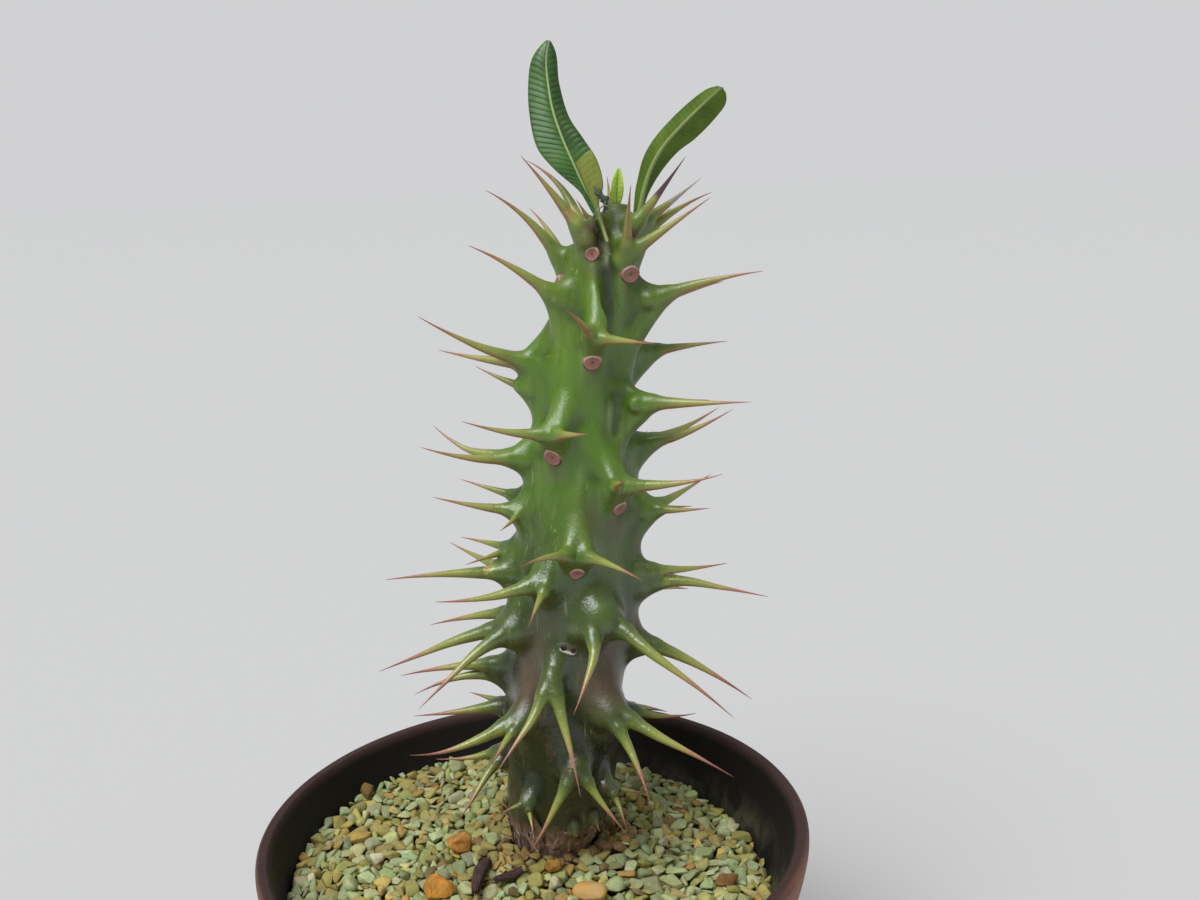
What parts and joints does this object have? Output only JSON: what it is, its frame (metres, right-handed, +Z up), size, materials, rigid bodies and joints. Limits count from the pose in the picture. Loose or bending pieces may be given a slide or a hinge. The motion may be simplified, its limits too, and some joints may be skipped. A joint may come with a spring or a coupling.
{
  "type": "potted pachypodium ambongense",
  "caption": "Spiny young succulent stem with paired thorns and a tuft of leaves at its top, growing in a round clay-coloured pot dressed with pale green gravel.",
  "frame": {"origin": "centre of the pot's base, on the surface it stands on", "axes": "+Z up along the pot's axis; the front of the plant, as pictured, faces -Y, and the stem leans towards +X"},
  "size_m": [0.12, 0.12, 0.2365],
  "materials": {
    "pot_clay": "matte reddish brown outside, darker and stained inside",
    "soil": "damp crumbly potting mix",
    "gravel": "pale sage green angular chips with ochre ones between",
    "stem_skin": "glossy green succulent skin, corky and darker near the soil, thorns with reddish tips",
    "leaf_blade": "glossy dark green with a pale midrib and close side veins",
    "young_leaf": "soft yellow-green",
    "stone_orange": "orange to yellow weathered chip",
    "stone_pale": "pale chip",
    "stone_brown": "brown to ochre chip",
    "bark": "dark purple-brown bark"
  },
  "bodies": {
    "root": {"pot": "pot_clay", "potting_soil": "soil", "gravel_layer": "gravel", "stem": "stem_skin", "leaf_left": "leaf_blade", "leaf_right": "leaf_blade", "leaf_bud": "young_leaf", "stone_orange_left": "stone_orange", "stone_orange_front_left": "stone_orange", "stone_orange_front": "stone_orange", "stone_yellow_front": "stone_orange", "stone_white_left": "stone_pale", "stone_pale_front": "stone_pale", "stone_brown_right": "stone_brown", "stone_ochre_wall": "stone_brown", "bark_chip_long": "bark", "bark_chip_short": "bark"}
  },
  "joints": []
}
